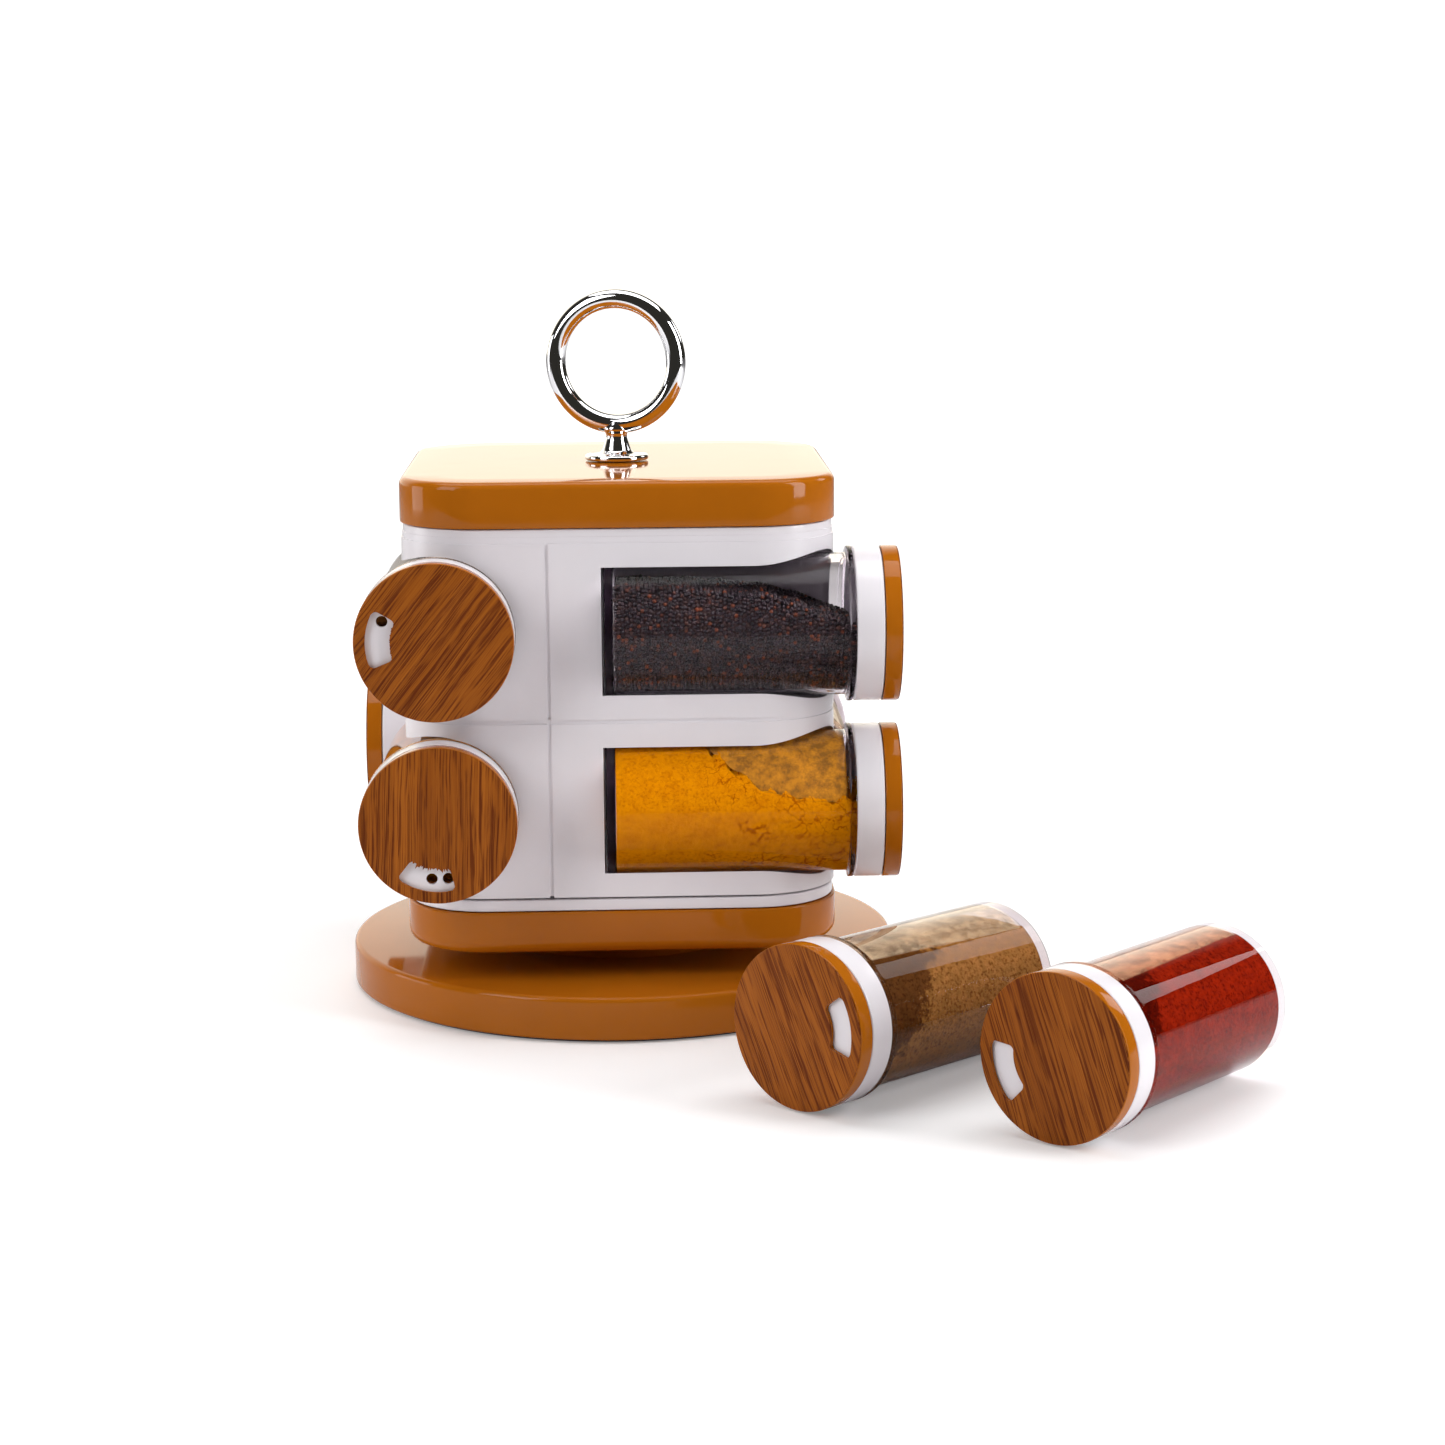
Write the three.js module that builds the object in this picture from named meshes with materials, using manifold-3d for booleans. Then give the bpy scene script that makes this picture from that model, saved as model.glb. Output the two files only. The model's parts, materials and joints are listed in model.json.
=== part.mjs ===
// A revolving spice carousel: a square tower of eight clear jars on a round base.
// Millimetres, +Z up. The origin is on the floor, on the axis that the tower turns about.
// The front face looks along -Y and +X is to the right of someone facing it.
import * as THREE from 'three';
import { mergeVertices } from 'three/addons/utils/BufferGeometryUtils.js';
import Module from 'manifold-3d';

const wasm = await Module();
wasm.setup();

// ---- driving dimensions -------------------------------------------------------------------

const GAP = 0.3;                 // between two pieces that touch
const WALL = 2.2;                // plastic wall of the tower and of the base
const QUARTER = Math.PI / 2;

const BODY_HALF = 70;            // half the width of the white tower
const BODY_CORNER = 27;          // radius of its upright corners
const TRIM_HALF = 70.3;          // half the width of the brown tray and the brown lid
const PLATE_HALF = 69.4;         // half the width of the two white clamping plates

const BASE_RADIUS = 92;
const BASE_Z = 1;                // lower edge of the base's wall
const BASE_TOP_Z = 15;
const TRAY_Z = 24;
const LOWER_PLATE_Z = 38;
const TIER_Z = 42;               // floor of the lower tier
const TIER_HEIGHT = 58;
const TIERS = 2;
const UPPER_PLATE_Z = TIER_Z + TIERS * TIER_HEIGHT;
const LID_Z = UPPER_PLATE_Z + 4;
const LID_TOP_Z = 176.8;

const SEAM = -22.6;              // where one module meets the next, along each face
const SEAM_FLANGE = 8;           // depth of the flange behind a seam

const JAR_SETBACK = 12.4;        // a docked jar's axis lies this far behind the face
const JAR_AXIS = BODY_HALF - JAR_SETBACK;
const JAR_START = -5;            // where a docked jar's closed end lies along its own axis
const JAR_RADIUS = 22.9;
const JAR_WALL = 1.6;
const JAR_BASE = 3.2;            // thickness of its closed end
const FLANGE_START = 78;         // distances along a jar, from its closed end
const FLANGE_END = 79.8;
const FLANGE_RADIUS = 25;
const NECK_RADIUS = 21.5;
const NECK_END = 87.5;
const POCKET_RADIUS = 24;
const POCKET_WALL = 1.6;

const SIFTER_END = 88.8;         // front edge of the sifter lid's outer ring
const SIFTER_RADIUS = 24.9;
const SIFTER_BORE = 22.4;
const PLATEAU_RADIUS = 22.2;     // the raised disc that the dial turns on
const PLATEAU_END = 92.9;
const PLATEAU_THICKNESS = 1.6;
const HOLE_RADIUS = 1.8;
const HOLE_CIRCLE = 17.4;
const HOLE_STEP = 5.2 / HOLE_CIRCLE;

const DIAL_RADIUS = 25;
const DIAL_BORE = 23;
const DIAL_START = SIFTER_END + GAP;
const DIAL_FACE = 94.1;
const DIAL_PLATE = DIAL_FACE - PLATEAU_END - GAP;
const INLAY_RADIUS = 24.2;
const INLAY_START = DIAL_FACE + 0.05;
const INLAY_END = 94.5;          // the whole length of a closed jar
const WINDOW_INNER = 13.3;
const WINDOW_OUTER = 21.5;
const WINDOW_SPAN = THREE.MathUtils.degToRad(54);

const ROD_RADIUS = 2.5;
const ROD_BORE = 2.9;
const HANDLE_Z = LID_TOP_Z + GAP;
const FOOT_RADIUS = 10.75;       // the handle's round foot
const FOOT_HEIGHT = 1.9;
const STEM_RADIUS = 3.3;         // at the stem's waist
const STEM_BORE_TOP = HANDLE_Z + 4.2;
const RING_Z = 210.1;
const RING_RADIUS = 20.9;
const RING_TUBE = 3.3;
const RING_TURN = THREE.MathUtils.degToRad(-16);

const ROUND_SIDES = { jar: 18, pocket: 24, base: 40, hub: 20, hole: 6 };

// ---- materials ----------------------------------------------------------------------------

const brown = new THREE.MeshStandardMaterial({ color: '#a4601b', roughness: 0.25, metalness: 0 });
const white = new THREE.MeshStandardMaterial({ color: '#f3f0f6', roughness: 0.3, metalness: 0 });
const clear = new THREE.MeshStandardMaterial({
  color: '#dcd2dc', roughness: 0.08, metalness: 0, transparent: true, opacity: 0.35,
});
const wood = new THREE.MeshStandardMaterial({ color: '#8b4b22', roughness: 0.5, metalness: 0 });
const chrome = new THREE.MeshStandardMaterial({ color: '#e8e8ea', roughness: 0.05, metalness: 1 });
const steel = new THREE.MeshStandardMaterial({ color: '#a9abae', roughness: 0.35, metalness: 1 });
const nylon = new THREE.MeshStandardMaterial({ color: '#2e2a2a', roughness: 0.5, metalness: 0 });

// ---- closed meshes and booleans -----------------------------------------------------------

// Merges the shared corners and drops the slivers that a lathe leaves on its axis.
function weld(geometry) {
  geometry.deleteAttribute('normal');
  geometry.deleteAttribute('uv');
  const merged = mergeVertices(geometry, 1e-4);
  const corners = merged.index.array;
  const kept = [];
  for (let i = 0; i < corners.length; i += 3) {
    const [a, b, c] = corners.slice(i, i + 3);
    if (a !== b && b !== c && c !== a) kept.push(a, b, c);
  }
  merged.setIndex(kept);
  return merged;
}

function toSolid(geometry) {
  const welded = weld(geometry);
  return new wasm.Manifold(new wasm.Mesh({
    numProp: 3,
    vertProperties: new Float32Array(welded.attributes.position.array),
    triVerts: new Uint32Array(welded.index.array),
  }));
}

function toGeometry(solid) {
  const mesh = solid.getMesh();
  const geometry = new THREE.BufferGeometry();
  geometry.setAttribute('position', new THREE.BufferAttribute(mesh.vertProperties, 3));
  geometry.setIndex(new THREE.BufferAttribute(mesh.triVerts, 1));
  return geometry;
}

// Turns a closed outline of [radius, height] points about +Z, with a corner facing -Y.
// The outline runs anticlockwise: up the outside and down the inside.
function turned(outline, sides) {
  const points = outline.map(([radius, height]) => new THREE.Vector2(radius, height));
  points.push(points[0].clone());
  return weld(new THREE.LatheGeometry(points, sides).rotateX(QUARTER));
}

function extruded(shape, z0, z1, curveSegments = 6) {
  const options = { depth: z1 - z0, bevelEnabled: false, curveSegments };
  return weld(new THREE.ExtrudeGeometry(shape, options).translate(0, 0, z0));
}

function tube(inner, outer, z0, z1, sides) {
  return turned([[inner, z0], [outer, z0], [outer, z1], [inner, z1]], sides);
}

function rod(radius, z0, z1, sides) {
  return turned([[0, z0], [radius, z0], [radius, z1], [0, z1]], sides);
}

// A square with round corners, centred on the axis.
function roundedSquare(half, corner) {
  const flat = half - corner;
  const shape = new THREE.Shape();
  for (let quarter = 0; quarter < 4; quarter += 1) {
    const centre = new THREE.Vector2(flat, -flat).rotateAround(new THREE.Vector2(), quarter * QUARTER);
    shape.absarc(centre.x, centre.y, corner, (quarter - 1) * QUARTER, quarter * QUARTER, false);
  }
  return shape;
}

function circle(radius) {
  return new THREE.Path().absarc(0, 0, radius, 0, 2 * Math.PI, true);
}

// ---- the tower ----------------------------------------------------------------------------

const tower = new THREE.Group();

function addTo(group, name, geometry, material) {
  const mesh = new THREE.Mesh(geometry, material);
  mesh.name = name;
  group.add(mesh);
  return mesh;
}

// A cylinder lying along +X, on the axis of the jar that this module holds.
function lyingCylinder(radius, x0, x1) {
  const bar = rod(radius, x0, x1, ROUND_SIDES.pocket).rotateY(QUARTER);
  return toSolid(bar.translate(0, -JAR_AXIS, TIER_HEIGHT / 2));
}

// The L-shaped outer wall of a module: along the front, round the right corner, to the next
// seam, with a flange turned inwards at both ends.
function moduleWallShape() {
  const flat = BODY_HALF - BODY_CORNER;
  const inside = BODY_HALF - WALL;
  const start = SEAM + GAP / 2;
  const end = SEAM - GAP / 2;
  const shape = new THREE.Shape();
  shape.moveTo(start, -BODY_HALF);
  shape.lineTo(flat, -BODY_HALF);
  shape.absarc(flat, -flat, BODY_CORNER, -QUARTER, 0, false);
  shape.lineTo(BODY_HALF, end);
  shape.lineTo(BODY_HALF - SEAM_FLANGE, end);
  shape.lineTo(BODY_HALF - SEAM_FLANGE, end - WALL);
  shape.lineTo(inside, end - WALL);
  shape.absarc(flat, -flat, BODY_CORNER - WALL, 0, -QUARTER, true);
  shape.lineTo(start + WALL, -inside);
  shape.lineTo(start + WALL, -BODY_HALF + SEAM_FLANGE);
  shape.lineTo(start, -BODY_HALF + SEAM_FLANGE);
  return shape;
}

// One of the eight white modules: the outer wall and the sleeve that a jar slides into.
// The jar's axis is close behind the face, so the sleeve breaks through it as a window.
function jarModuleGeometry() {
  const z0 = GAP / 2;
  const z1 = TIER_HEIGHT - GAP / 2;
  const wall = toSolid(extruded(moduleWallShape(), z0, z1));
  const block = toSolid(extruded(roundedSquare(BODY_HALF, BODY_CORNER), z0, z1));
  const pocketEnd = JAR_START - 0.5;
  const sleeve = lyingCylinder(POCKET_RADIUS + POCKET_WALL, pocketEnd - POCKET_WALL, BODY_HALF + 1);
  const pocket = lyingCylinder(POCKET_RADIUS, pocketEnd, BODY_HALF + 5);
  return toGeometry(wall.add(sleeve.intersect(block)).subtract(pocket));
}

const SIDES = ['front', 'right', 'back', 'left'];
const ROWS = ['lower', 'upper'];

function addModules() {
  const geometry = jarModuleGeometry();
  SIDES.forEach((side, quarter) => {
    ROWS.forEach((row, tier) => {
      const mesh = addTo(tower, `jar_module_${side}_${row}`, geometry, white);
      mesh.position.z = TIER_Z + tier * TIER_HEIGHT;
      mesh.rotation.z = quarter * QUARTER;
    });
  });
}

// A rounded square pan with a flat floor, open on one side, with a boss round the rod.
function pan(floorZ, rimZ, boss) {
  const inside = TRIM_HALF - WALL;
  const up = Math.sign(rimZ - floorZ);
  const [low, high] = [Math.min(floorZ, rimZ), Math.max(floorZ, rimZ)];
  const block = toSolid(extruded(roundedSquare(TRIM_HALF, BODY_CORNER), low, high));
  const hollowFloor = floorZ + up * WALL;
  const [hollowLow, hollowHigh] = [Math.min(hollowFloor, rimZ + up), Math.max(hollowFloor, rimZ + up)];
  const hollow = extruded(roundedSquare(inside, BODY_CORNER - WALL), hollowLow, hollowHigh);
  const body = block.subtract(toSolid(hollow)).add(toSolid(rod(boss.radius, boss.z0, boss.z1, ROUND_SIDES.hub)));
  return body.subtract(toSolid(rod(ROD_BORE, boss.z0 - 1, boss.z1 + 1, ROUND_SIDES.hub)));
}

const GLIDE_Z = 18;
const GLIDE_HEIGHT = 2.4;
const GLIDE_RADIUS = 38;
const GLIDE_BORE = 24;

function addTrayAndLid() {
  const trayBoss = { radius: GLIDE_RADIUS + 2, z0: GLIDE_Z + GLIDE_HEIGHT + 2 * GAP, z1: TRAY_Z + WALL };
  const post = rod(9, TRAY_Z, LOWER_PLATE_Z - GAP, ROUND_SIDES.hub);
  const bore = rod(ROD_BORE, TRAY_Z - 1, LOWER_PLATE_Z, ROUND_SIDES.hub);
  const tray = pan(TRAY_Z, LOWER_PLATE_Z - GAP / 2, trayBoss).add(toSolid(post)).subtract(toSolid(bore));
  addTo(tower, 'bottom_tray', toGeometry(tray), brown);
  const lidBoss = { radius: 9, z0: LID_Z + GAP, z1: LID_TOP_Z };
  addTo(tower, 'top_lid', toGeometry(pan(LID_TOP_Z, LID_Z + GAP / 2, lidBoss)), brown);
}

function addClampPlates() {
  const shape = roundedSquare(PLATE_HALF, BODY_CORNER);
  shape.holes.push(circle(ROD_BORE));
  const plates = { lower_plate: [LOWER_PLATE_Z, TIER_Z], upper_plate: [UPPER_PLATE_Z, LID_Z] };
  for (const [name, [z0, z1]] of Object.entries(plates)) {
    addTo(tower, name, extruded(shape, z0 + GAP / 2, z1 - GAP / 2), white);
  }
}

// The chromed lifting ring, its waisted stem and the round foot that presses on the lid.
function addHandle() {
  const footTop = HANDLE_Z + FOOT_HEIGHT;
  const stem = turned([
    [ROD_BORE, HANDLE_Z], [FOOT_RADIUS, HANDLE_Z], [FOOT_RADIUS, HANDLE_Z + 1.2], [FOOT_RADIUS - 0.75, footTop],
    [STEM_RADIUS + 2.4, footTop + 0.4], [STEM_RADIUS + 0.9, footTop + 3], [STEM_RADIUS, footTop + 7],
    [STEM_RADIUS, RING_Z - RING_RADIUS], [0, RING_Z - RING_RADIUS],
    [0, STEM_BORE_TOP], [ROD_BORE, STEM_BORE_TOP],
  ], ROUND_SIDES.hub);
  const ring = new THREE.TorusGeometry(RING_RADIUS, RING_TUBE, 8, 30).rotateX(QUARTER);
  const handle = toSolid(stem).add(toSolid(ring.translate(0, 0, RING_Z)));
  addTo(tower, 'ring_handle', toGeometry(handle), chrome).rotation.z = RING_TURN;
}

// ---- the base and the pivot ---------------------------------------------------------------

const base = new THREE.Group();

const PLATE_TOP = 1.8;           // upper side of the flat cover under the base
const NUT_Z = PLATE_TOP + 2 * GAP;
const NUT_HEIGHT = 4;
const WASHER_Z = NUT_Z + NUT_HEIGHT + GAP;
const WASHER_HEIGHT = 1;
const HUB_Z = WASHER_Z + WASHER_HEIGHT + GAP;
const HUB_RADIUS = 14;

// An upside-down dish with a hub for the rod and a low round land for the glide ring.
function addBase() {
  const inside = BASE_RADIUS - WALL;
  const ceiling = BASE_TOP_Z - WALL;
  const shell = turned([
    [ROD_BORE, HUB_Z], [HUB_RADIUS, HUB_Z], [HUB_RADIUS, ceiling], [inside, ceiling], [inside, BASE_Z],
    [BASE_RADIUS, BASE_Z], [BASE_RADIUS, BASE_TOP_Z - 2], [BASE_RADIUS - 2, BASE_TOP_Z],
    [GLIDE_RADIUS + 4, BASE_TOP_Z], [GLIDE_RADIUS + 2, GLIDE_Z - GAP], [ROD_BORE, GLIDE_Z - GAP],
  ], ROUND_SIDES.base);
  addTo(base, 'base_shell', shell, brown);
  addTo(base, 'base_plate', rod(inside - GAP, 0, PLATE_TOP, ROUND_SIDES.base), nylon);
  addTo(base, 'glide_ring', tube(GLIDE_BORE, GLIDE_RADIUS, GLIDE_Z, GLIDE_Z + GLIDE_HEIGHT, 32), nylon);
  addTo(base, 'pivot_washer', tube(ROD_BORE, 8, WASHER_Z, WASHER_Z + WASHER_HEIGHT, 16), steel);
}

// The long rod that clamps the whole tower, from the nut under the base up into the handle.
function addRod() {
  addTo(tower, 'centre_rod', rod(ROD_RADIUS, PLATE_TOP + GAP, STEM_BORE_TOP - GAP, 12), steel);
  addTo(tower, 'pivot_nut', tube(ROD_BORE, 4.6, NUT_Z, NUT_Z + NUT_HEIGHT, 6), steel);
}

// ---- the jars -----------------------------------------------------------------------------

// Every piece of a jar is drawn on the jar's own axis: +Z runs out of its mouth, +Y is up
// and +X is to the right for someone who faces its dial.

function jarGeometry() {
  const inside = JAR_RADIUS - JAR_WALL;
  const neckInside = NECK_RADIUS - JAR_WALL;
  return turned([
    [0, 0], [JAR_RADIUS, 0], [JAR_RADIUS, FLANGE_START],
    [FLANGE_RADIUS, FLANGE_START], [FLANGE_RADIUS, FLANGE_END], [NECK_RADIUS, FLANGE_END],
    [NECK_RADIUS, NECK_END], [neckInside, NECK_END], [neckInside, FLANGE_START],
    [inside, FLANGE_START - 2], [inside, JAR_BASE], [0, JAR_BASE],
  ], ROUND_SIDES.jar);
}

// The white screw lid: a skirt round the neck and a raised disc with three sifter holes.
function sifterGeometry() {
  const start = FLANGE_END + GAP;
  const under = PLATEAU_END - PLATEAU_THICKNESS;
  let lid = toSolid(turned([
    [0, under], [PLATEAU_RADIUS - 2, under], [SIFTER_BORE, SIFTER_END - 1], [SIFTER_BORE, start],
    [SIFTER_RADIUS, start], [SIFTER_RADIUS, SIFTER_END], [PLATEAU_RADIUS, SIFTER_END],
    [PLATEAU_RADIUS, PLATEAU_END], [0, PLATEAU_END],
  ], ROUND_SIDES.jar));
  for (const step of [-1, 0, 1]) {
    const hole = rod(HOLE_RADIUS, under - 1, PLATEAU_END + 1, ROUND_SIDES.hole);
    hole.translate(HOLE_CIRCLE, 0, 0).rotateZ(step * HOLE_STEP);
    lid = lid.subtract(toSolid(hole));
  }
  return toGeometry(lid);
}

// The kidney-shaped window that lets the spice through, centred on +X.
function windowShape(path) {
  path.absarc(0, 0, WINDOW_OUTER, -WINDOW_SPAN / 2, WINDOW_SPAN / 2, false);
  path.absarc(0, 0, WINDOW_INNER, WINDOW_SPAN / 2, -WINDOW_SPAN / 2, true);
  return path;
}

// The brown cap that turns on the sifter lid and uncovers its holes.
function dialGeometry() {
  const under = DIAL_FACE - DIAL_PLATE;
  const cap = toSolid(turned([
    [0, under], [DIAL_BORE, under], [DIAL_BORE, DIAL_START], [DIAL_RADIUS, DIAL_START],
    [DIAL_RADIUS, DIAL_FACE], [0, DIAL_FACE],
  ], ROUND_SIDES.jar));
  const opening = extruded(windowShape(new THREE.Shape()), under - 1, DIAL_FACE + 1, 4);
  return toGeometry(cap.subtract(toSolid(opening)));
}

function inlayGeometry() {
  const disc = toSolid(rod(INLAY_RADIUS, INLAY_START, INLAY_END, ROUND_SIDES.jar));
  const opening = extruded(windowShape(new THREE.Shape()), INLAY_START - 1, INLAY_END + 1, 4);
  return toGeometry(disc.subtract(toSolid(opening)));
}

// Docked jars stand in the tower. The angles say how far each sifter lid and each dial is
// turned, anticlockwise from +X for someone who faces the dial.
const docked = {
  front_upper: { quarter: 0, tier: 1, sifter: 70, dial: 180 },
  front_lower: { quarter: 0, tier: 0, sifter: 200, dial: 95 },
  right_lower: { quarter: 1, tier: 0, sifter: 20, dial: 310 },
  back_lower: { quarter: 2, tier: 0, sifter: 250, dial: 140 },
  left_upper: { quarter: 3, tier: 1, sifter: 139.5, dial: 176 },
  left_lower: { quarter: 3, tier: 0, sifter: 279.6, dial: 258 },
};

// Loose jars lie on the floor, each on the edge of its flange and on its closed end.
const loose = {
  loose_inner: { x: 50.4, y: -165.4, turn: -45, sifter: 190, dial: 11 },
  loose_outer: { x: 121.1, y: -201.4, turn: -40.5, sifter: 10, dial: 200.5 },
};

const jarShapes = {
  jar: [jarGeometry(), clear],
  sifter_lid: [sifterGeometry(), white],
  dial: [dialGeometry(), brown],
  wood_inlay: [inlayGeometry(), wood],
};

// The four pieces of a jar, on a group whose +Z is the jar's axis.
function addJar(group, place, angles) {
  const turns = { jar: 0, sifter_lid: angles.sifter, dial: angles.dial, wood_inlay: angles.dial };
  for (const [piece, [geometry, material]] of Object.entries(jarShapes)) {
    const mesh = addTo(group, `${piece}_${place}`, geometry, material);
    mesh.rotation.z = THREE.MathUtils.degToRad(turns[piece]);
  }
}

// A group that points a jar's mouth along -Y, turned about +Z and tipped up by a small angle.
function jarFrame(turn, tilt) {
  const outer = new THREE.Group();
  const inner = new THREE.Group();
  outer.rotation.z = turn;
  inner.rotation.x = QUARTER - tilt;
  outer.add(inner);
  return { outer, inner };
}

function addDockedJars() {
  for (const [place, spot] of Object.entries(docked)) {
    const { outer, inner } = jarFrame(QUARTER, 0);
    const side = new THREE.Group();
    side.rotation.z = spot.quarter * QUARTER;
    outer.position.set(JAR_START, -JAR_AXIS, TIER_Z + (spot.tier + 0.5) * TIER_HEIGHT);
    side.add(outer);
    tower.add(side);
    addJar(inner, place, spot);
  }
}

// x and y are the middle of the dial's face. The tilt lets the flange and the closed end
// touch the floor together.
function addLooseJars(group) {
  const tilt = Math.asin((FLANGE_RADIUS - JAR_RADIUS) / FLANGE_START);
  const clearance = 0.02;
  for (const [place, spot] of Object.entries(loose)) {
    const turn = THREE.MathUtils.degToRad(spot.turn);
    const { outer, inner } = jarFrame(turn, tilt);
    const reach = INLAY_END * Math.cos(tilt);
    outer.position.set(
      spot.x - reach * Math.sin(turn),
      spot.y + reach * Math.cos(turn),
      JAR_RADIUS * Math.cos(tilt) + clearance,
    );
    group.add(outer);
    addJar(inner, place, spot);
  }
}

// ---- assembly -----------------------------------------------------------------------------

addBase();
addRod();
addTrayAndLid();
addClampPlates();
addModules();
addHandle();
addDockedJars();
addLooseJars(base);

const group = new THREE.Group();
group.add(base, tower);

export default group;
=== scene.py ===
"""The looks of a revolving spice carousel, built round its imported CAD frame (Blender 4.5).

Lengths are in millimetres, except those of the lamps; meshes are written out in metres. The
tower's pieces are drawn in the frame's own axes. A jar's pieces are drawn on the jar's own axis,
which runs out of its mouth as +Z with +Y up, and are then placed by that jar's dial joint.
"""
import json
import math
import random

import bmesh
import bpy
from mathutils import Matrix, Vector, noise


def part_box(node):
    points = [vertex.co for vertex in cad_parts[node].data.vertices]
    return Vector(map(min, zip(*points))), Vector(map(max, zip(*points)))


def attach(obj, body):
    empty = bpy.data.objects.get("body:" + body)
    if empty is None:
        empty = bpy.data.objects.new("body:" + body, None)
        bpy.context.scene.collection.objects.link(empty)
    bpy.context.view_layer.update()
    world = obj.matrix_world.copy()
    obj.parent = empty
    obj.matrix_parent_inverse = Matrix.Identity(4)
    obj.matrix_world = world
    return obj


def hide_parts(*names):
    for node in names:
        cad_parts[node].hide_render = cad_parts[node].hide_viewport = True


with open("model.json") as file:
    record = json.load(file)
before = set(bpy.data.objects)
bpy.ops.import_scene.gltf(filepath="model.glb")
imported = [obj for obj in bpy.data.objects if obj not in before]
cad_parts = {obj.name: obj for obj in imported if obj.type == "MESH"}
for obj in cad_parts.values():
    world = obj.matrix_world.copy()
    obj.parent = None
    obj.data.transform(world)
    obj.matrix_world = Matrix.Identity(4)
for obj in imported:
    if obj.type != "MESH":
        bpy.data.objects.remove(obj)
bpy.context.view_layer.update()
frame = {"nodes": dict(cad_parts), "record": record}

MM = 0.001
TURN = 2 * math.pi


def box_mm(node):
    """Lowest and highest corner of a CAD node, in millimetres."""
    low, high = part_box(node)
    return Vector(low) / MM, Vector(high) / MM


# ---- sizes read from the frame ---------------------------------------------------------------

LID_LOW, LID_HIGH = box_mm("top_lid")
TRAY_LOW, TRAY_HIGH = box_mm("bottom_tray")
SHELL_LOW, SHELL_HIGH = box_mm("base_shell")
UPPER_LOW, UPPER_HIGH = box_mm("upper_plate")
LOWER_LOW, LOWER_HIGH = box_mm("lower_plate")
MODULE_LOW, MODULE_HIGH = box_mm("jar_module_front_lower")
HANDLE_LOW, HANDLE_HIGH = box_mm("ring_handle")
JAR_LOW = box_mm("jar_front_lower")[0]
JOINTS = {joint["name"]: joint for joint in frame["record"]["behaviour"]["joints"]}

BODY_HALF = MODULE_HIGH.x
TRIM_HALF = LID_HIGH.x
BODY_CORNER = 27.0
WALL = 2.2
GAP = 0.15                        # half of the CAD's gap between two modules
SEAM = MODULE_LOW.x - GAP         # where two modules meet, along each face
TIER_Z = MODULE_LOW.z - GAP
TIER_HEIGHT = MODULE_HIGH.z - MODULE_LOW.z + 2 * GAP
GROOVE = 1.3                      # width of the groove that shows between two modules
FLAT_INSET = 14                   # where the flat middle of a square pan or plate begins
JAR_AXIS = 57.6                   # how far a docked jar's axis lies from the middle of the tower
JAR_START = JAR_LOW.x             # where a docked jar's closed end lies along its axis
JAR_LENGTH = 94.5                 # from the closed end to the face of the dial
POCKET_RADIUS = 24.0
POCKET_WALL = 1.6
RING_TURN = math.radians(-16)     # how far the lifting ring is turned about its stem
BASE_RADIUS = SHELL_HIGH.x

HAIR = 0.05                       # keeps two faces out of one plane
CIRCLE_STEPS = 128
CORNER_STEPS = 20


# ---- mesh tools ------------------------------------------------------------------------------

def soften(outline, steps=5):
    """Rounds the corners of a closed outline of (a, b, radius) points with arcs, which take at
    most about half of each side."""
    count = len(outline)
    softened = []
    for i, (a, b, radius) in enumerate(outline):
        corner = Vector((a, b))
        before = Vector(outline[i - 1][:2]) - corner
        after = Vector(outline[(i + 1) % count][:2]) - corner
        if radius <= 0:
            softened.append(corner)
            continue
        half = before.angle(after) / 2
        reach = min(radius / math.tan(half), 0.49 * before.length, 0.49 * after.length)
        radius = reach * math.tan(half)
        middle = (before.normalized() + after.normalized()).normalized()
        centre = corner + middle * radius / math.sin(half)
        first = corner + before.normalized() * reach - centre
        last = corner + after.normalized() * reach - centre
        for step in range(steps + 1):
            softened.append(centre + first.slerp(last, step / steps).normalized() * radius)
    return softened


def circle_ring(radius, z, steps=CIRCLE_STEPS):
    angles = [TURN * i / steps for i in range(steps)]
    return [Vector((radius * math.cos(angle), radius * math.sin(angle), z)) for angle in angles]


def square_ring(half, corner, z, steps=CORNER_STEPS):
    """A square with round corners, anticlockwise."""
    ring = []
    flat = half - corner
    for quarter in range(4):
        centre = Matrix.Rotation(quarter * TURN / 4, 3, "Z") @ Vector((flat, -flat, z))
        for step in range(steps + 1):
            angle = (quarter - 1 + step / steps) * TURN / 4
            ring.append(centre + Vector((corner * math.cos(angle), corner * math.sin(angle), 0)))
    return ring


def loft(rings, closed=False):
    """Skins rings of equal length; the two ends are capped unless the rings close on themselves."""
    mesh = bmesh.new()
    rows = [[mesh.verts.new(point) for point in ring] for ring in rings]
    pairs = list(zip(rows, rows[1:]))
    if closed:
        pairs.append((rows[-1], rows[0]))
    for low, high in pairs:
        for i in range(len(low)):
            j = (i + 1) % len(low)
            mesh.faces.new((low[i], low[j], high[j], high[i]))
    if not closed:
        mesh.faces.new(rows[0])
        mesh.faces.new(rows[-1])
    bmesh.ops.recalc_face_normals(mesh, faces=mesh.faces)
    return mesh


def turned(outline, closed=False, steps=CIRCLE_STEPS):
    """Revolves an outline of (radius, z, rounding) points about +Z. An open outline is capped
    with a flat face at each end."""
    return loft([circle_ring(point.x, point.y, steps) for point in soften(outline)], closed)


def squared(outline, half, corner):
    """Sweeps an open outline of (inset, z, rounding) points round a rounded square."""
    return loft([square_ring(half - point.x, corner - point.x, point.y) for point in soften(outline)])


def joined(*meshes):
    """Puts several meshes in one."""
    whole = bmesh.new()
    for mesh in meshes:
        data = bpy.data.meshes.new("joined")
        mesh.to_mesh(data)
        mesh.free()
        whole.from_mesh(data)
        bpy.data.meshes.remove(data)
    return whole


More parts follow.
